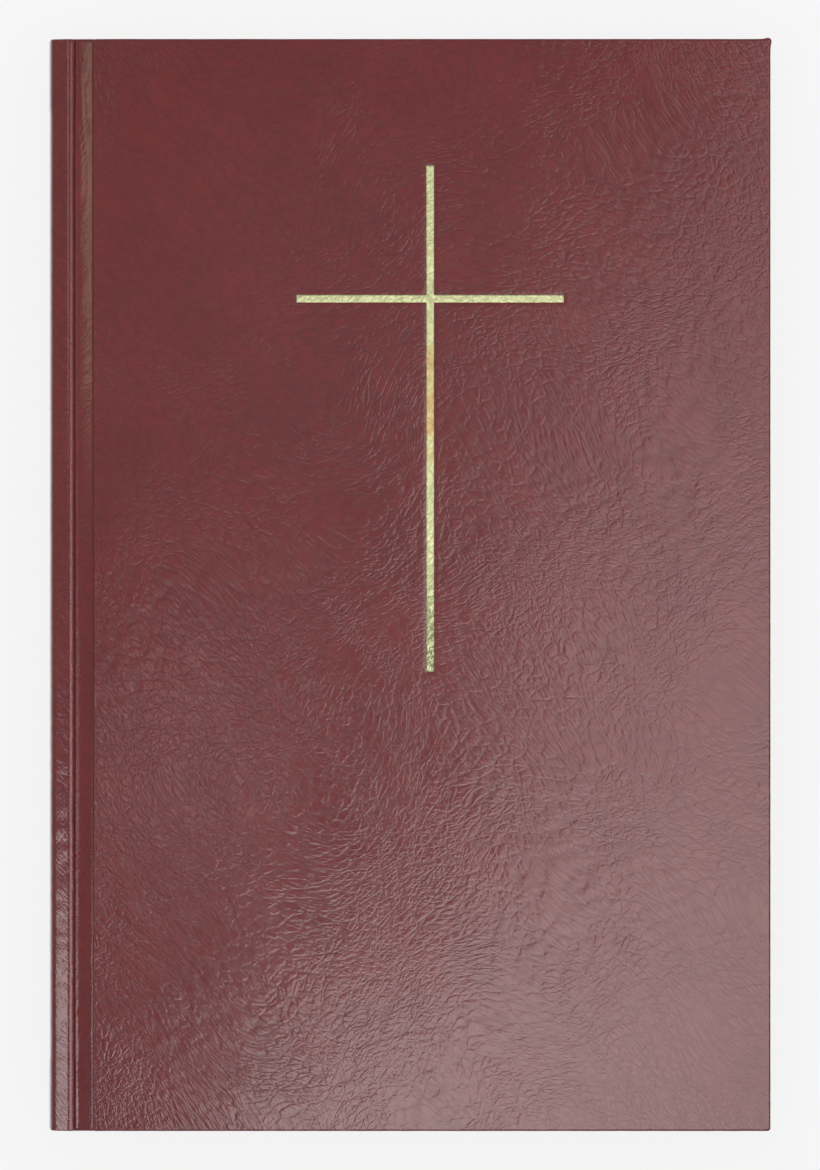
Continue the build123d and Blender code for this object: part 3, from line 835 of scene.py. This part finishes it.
def section_pages(number):
    """One folded section: rings round its four sides, one per leaf edge, and its two outer pages."""
    depth = 2 * SECTIONS_TOP - THICKNESS
    low = THICKNESS - SECTIONS_TOP + depth * number / SECTIONS
    high = low + depth / SECTIONS
    flare_x = SHOULDER_X + 0.7
    share = ((low + high) / 2 - MIDDLE_Z) / (SECTIONS_TOP - MIDDLE_Z)
    fore = PAGE_FORE - 1.5 * (1 - share**2)
    rng = np.random.default_rng(1000 + number)
    fold_count = 9
    xs = np.concatenate([np.linspace(0, 1, fold_count), ruled_lines([flare_x, fore], PAGE_STEP)[1:]])
    steps_y = ruled_lines([-PAGE_HEAD, PAGE_HEAD], PAGE_STEP)

    def ring(f, inset):
        """A loop round the section at a share of its thickness, its trimmed edges set in a little."""
        z = low + (high - low) * f
        flared = MIDDLE_Z + (z - MIDDLE_Z) * BACKING_FLARE
        radius = SPINE_RADIUS - FOLD_DEPTH - 0.35 * (2 * f - 1) ** 2
        fold_x = SPINE_CENTRE - math.sqrt(radius**2 - (flared - MIDDLE_Z) ** 2)
        near = fold_x + (flare_x - fold_x) * xs[:fold_count]
        x = np.concatenate([near, xs[fold_count:]])
        ease = np.clip((x - fold_x) / (flare_x - fold_x), 0, 1)
        height = flared + (z - flared) * (ease * ease * (3 - 2 * ease))
        x = np.minimum(x, fore - inset)
        x[-1] = fore - inset
        trim = inset + 0.02 * gradient_noise(x / 14, np.full_like(x, z * 3), 31)
        tail = np.stack([x, -PAGE_HEAD + trim, height], -1)
        y = steps_y[1:-1] / PAGE_HEAD * (PAGE_HEAD - inset)
        swing = 0.03 * gradient_noise(y / 17, np.full_like(y, z * 2.4), 33)
        fore_side = np.stack([fore - inset + swing, y, np.full_like(y, z)], -1)
        head = np.stack([x[::-1], PAGE_HEAD - trim[::-1], height[::-1]], -1)
        fold_y = np.linspace(PAGE_HEAD - inset, -PAGE_HEAD + inset, 6)[1:-1]
        fold = np.stack([np.full(4, fold_x), fold_y, np.full(4, flared)], -1)
        return np.concatenate([tail, fore_side, head, fold])

    rings = [ring(0.0, 0.03)]
    for leaf in range(LEAVES_SHOWN):
        bottom, top = leaf / LEAVES_SHOWN, (leaf + 1) / LEAVES_SHOWN
        out = abs(rng.normal(0, 0.014))
        rings.append(ring(bottom + 0.025, out))
        rings.append(ring(top - 0.025, out))
        rings.append(ring(top, out + 0.035))
    points = np.concatenate(rings)
    around, columns = len(rings[0]), len(xs)
    fore_count = len(steps_y) - 2
    faces = grid_faces(len(rings), around, wrap=True).tolist()
    marks = [0] * len(faces)
    for first in (0, (len(rings) - 1) * around):
        tail = first + np.arange(columns)
        head = first + columns + fore_count + np.arange(columns)[::-1]
        cap = [[tail[c], tail[c + 1], head[c + 1], head[c]] for c in range(columns - 2)]
        fore_side = (first + columns + np.arange(fore_count)).tolist()
        cap.append([tail[-2], tail[-1]] + fore_side + [head[-1], head[-2]])
        fold = (first + 2 * columns + fore_count + np.arange(4)).tolist()
        cap.append([head[0]] + fold + [tail[0]])
        faces += cap if first else [list(f)[::-1] for f in cap]
        marks += [1] * len(cap)
    name = f"section_{number + 1:02d}"
    piece = make_piece(f"{name}_pages", points, faces, [PAGE_EDGES, PAGE_FACE], None, marks, False)
    outward_faces(piece)
    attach(piece, "text_block")
    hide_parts(name)


def headband(side):
    """A rolled, striped bead with its tape, along the end of the block's spine."""
    depth = FOLD_DEPTH + 0.35
    half = (SECTIONS_TOP - MIDDLE_Z) * BACKING_FLARE - 0.6
    radius = SPINE_RADIUS - depth
    turn = math.degrees(math.asin(half / radius))
    turns = (180 - turn, 180 + turn)
    line, stations = resampled(arc_points(SPINE_CENTRE, MIDDLE_Z, radius, *turns, 120), 0.16)
    bead, around = 0.88, 18
    angles = np.linspace(0, 2 * math.pi, around, endpoint=False)
    normal = outward(line)
    points, places = [], []
    middle_y = PAGE_HEAD + 0.92
    for number, station in enumerate(stations):
        from_end = min(station, stations[-1] - station)
        end = math.sqrt(max(0.0, 1 - (1 - from_end / 0.5) ** 2)) if from_end < 0.5 else 1.0
        size = bead * max(0.15, end) * (1 + 0.035 * math.cos(2 * math.pi * station / 0.8))
        x = line[number, 0] + normal[number, 0] * size * np.cos(angles)
        z = line[number, 1] + normal[number, 1] * size * np.cos(angles)
        y = middle_y + size * np.sin(angles)
        points.append(np.stack([x, y, z], -1))
        places.append(np.stack([angles * bead, y, np.full(around, station) + angles * 0.12], -1))
    rows = len(points)
    faces = grid_faces(rows, around, wrap=True).tolist()
    faces.append(list(range(around)))
    faces.append([(rows - 1) * around + c for c in reversed(range(around))])
    first = rows * around
    tape_rows = []
    tape_radius, tape_thickness = SPINE_RADIUS - 2.03, 0.18
    tape_top, tape_foot = PAGE_HEAD + 0.9, PAGE_HEAD - 10
    outer, _ = resampled(arc_points(SPINE_CENTRE, MIDDLE_Z, tape_radius, *turns, 60), 1.2)
    inward = np.stack([SPINE_CENTRE - outer[:, 0], MIDDLE_Z - outer[:, 1]], -1)
    inward /= np.hypot(*inward.T)[:, None]
    outline = ((tape_foot, 0.0), (tape_top, 0.0), (tape_top, tape_thickness), (tape_foot, tape_thickness))
    for y, shift in outline:
        spot = outer + inward * shift
        tape_rows.append(np.stack([spot[:, 0], np.full(len(spot), y), spot[:, 1]], -1))
    width = len(outer)
    quads = grid_faces(4, width, first=first).tolist()
    last = first + 3 * width
    quads += [[last + c, last + c + 1, first + c + 1, first + c] for c in range(width - 1)]
    quads.append([first, first + width, first + 2 * width, first + 3 * width])
    quads.append([first + q * width + width - 1 for q in (3, 2, 1, 0)])
    points = np.concatenate(points + tape_rows)
    places = np.concatenate(places + tape_rows)
    points[:, 1] *= side
    name = "head_band" if side > 0 else "tail_band"
    piece = make_piece(f"{name}_cloth", points, faces + quads, [HEADBAND], places)
    outward_faces(piece)
    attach(piece, "text_block")
    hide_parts(name)


# Build everything
for is_front in (True, False):
    cover_panel(is_front)
    groove_strip(is_front)
    groove_endpaper(is_front)
    pastedown(is_front)
foil_cross()
spine_leather()
for side_name in ("front", "back"):
    for leaf_number in range(LEAVES):
        leaf_sheet(side_name, leaf_number)
for section_number in range(SECTIONS):
    section_pages(section_number)
headband(1)
headband(-1)

slots = {part["node"]: part["material_slot"] for part in frame["record"]["subparts"]}
for node, thing in frame["nodes"].items():
    if slots[node] in CAD_FINISH:
        for place in thing.material_slots:
            place.material = CAD_FINISH[slots[node]]


# Floor, light and camera, in metres
FLOOR_Z, FLOOR_REACH = -0.0058, 3.0
FLOOR_GLOW = 0.844


def make_floor():
    """A plain pale table top, far enough under the closed book for its back cover to open above it."""
    mesh = bpy.data.meshes.new("floor")
    corners = [(-1, -1), (1, -1), (1, 1), (-1, 1)]
    mesh.from_pydata([(x * FLOOR_REACH, y * FLOOR_REACH, 0) for x, y in corners], [], [(0, 1, 2, 3)])
    floor = bpy.data.objects.new("floor", mesh)
    floor.location = (0, 0, FLOOR_Z)
    bpy.context.scene.collection.objects.link(floor)
    nodes = Nodes("floor")
    base = nodes.finish(base_color=(0.12, 0.12, 0.12, 1), roughness=1.0, specular_ior_level=0.0)
    nodes.put(nodes.shader.inputs["Emission Color"], (1, 1, 1, 1))
    nodes.put(nodes.shader.inputs["Emission Strength"], FLOOR_GLOW)
    mesh.materials.append(base)


def make_world():
    """Soft surrounding light, dim straight overhead."""
    world = bpy.data.worlds.new("studio")
    world.use_nodes = True
    bpy.context.scene.world = world
    tree = world.node_tree
    background = tree.nodes["Background"]
    coordinates = tree.nodes.new("ShaderNodeTexCoord")
    split = tree.nodes.new("ShaderNodeSeparateXYZ")
    ramp = tree.nodes.new("ShaderNodeValToRGB")
    ramp.color_ramp.interpolation = "EASE"
    tree.links.new(coordinates.outputs["Generated"], split.inputs[0])
    tree.links.new(split.outputs["Z"], ramp.inputs[0])
    levels = ((0.0, 0.5), (0.2, 0.7), (0.45, 1.0), (0.7, 1.0), (0.94, 0.6))
    while len(ramp.color_ramp.elements) < len(levels):
        ramp.color_ramp.elements.new(0.5)
    for element, (height, level) in zip(ramp.color_ramp.elements, levels):
        element.position, element.color = height, (level * 0.98, level * 0.99, level, 1)
    tree.links.new(ramp.outputs[0], background.inputs["Color"])
    background.inputs["Strength"].default_value = 0.6


SOFTBOX_Z = 330


def soft_panel(name, left, right, foot, head, radiance, tint=(1, 1, 1), z=SOFTBOX_Z):
    """A panel of light over the book, its edges and height in mm."""
    light = bpy.data.lights.new(name, "AREA")
    light.shape, light.size, light.size_y = "RECTANGLE", (right - left) * MM, (head - foot) * MM
    light.energy = radiance * math.pi * light.size * light.size_y
    light.color = tint
    thing = bpy.data.objects.new(name, light)
    thing.location = ((left + right) / 2 * MM, (foot + head) / 2 * MM, z * MM)
    thing.visible_camera = False
    bpy.context.scene.collection.objects.link(thing)
    return thing


# Each softbox: its left, right, foot and head edges in mm, its radiance, and its tint if it has one
SOFTBOXES = {
    "right": (21, 260, -62, 15, 3.0),
    "middle": (8, 260, -88, -62, 4.4),
    "foot": (-44, 55, -260, -90, 5.1),
    "foot_right": (55, 260, -260, -90, 3.5),
    "upper": (36, 260, 15, 75, 1.8),
    "head": (80, 260, 75, 180, 1.7),
    "left": (-66, -38, -64, -14, 3.3),
    "foot_left": (-80, -44, -260, -140, 0.3),
    "spine_head": (-200, -125, 40, 220, 2.0, (0.9, 1.0, 0.67)),
    "spine_foot": (-340, -195, -330, -75, 5.6),
}


# How high the camera is, and the height of the frame at the front cover's level
CAMERA_HEIGHT, FRAME_HEIGHT, SENSOR = 2.0, 0.2260, 36


def make_camera():
    """A long lens straight above the middle of the book, the head of the cover at the top."""
    camera = bpy.data.cameras.new("camera")
    camera.sensor_width = SENSOR
    camera.lens = SENSOR * (CAMERA_HEIGHT - THICKNESS * MM) / FRAME_HEIGHT
    thing = bpy.data.objects.new("camera", camera)
    thing.location = (0.0002, 0.0, CAMERA_HEIGHT)
    bpy.context.scene.collection.objects.link(thing)
    bpy.context.scene.camera = thing


make_floor()
make_world()
for side_name, panel in SOFTBOXES.items():
    soft_panel(f"{side_name}_softbox", *panel).visible_diffuse = False
soft_panel("ceiling", -1500, 1500, -1500, 1500, 0.4, z=2500).visible_glossy = False
soft_panel("overhead", -60, 60, -15, 105, 4.8, z=250).visible_glossy = False
make_camera()
bpy.context.scene.view_settings.view_transform = "Standard"
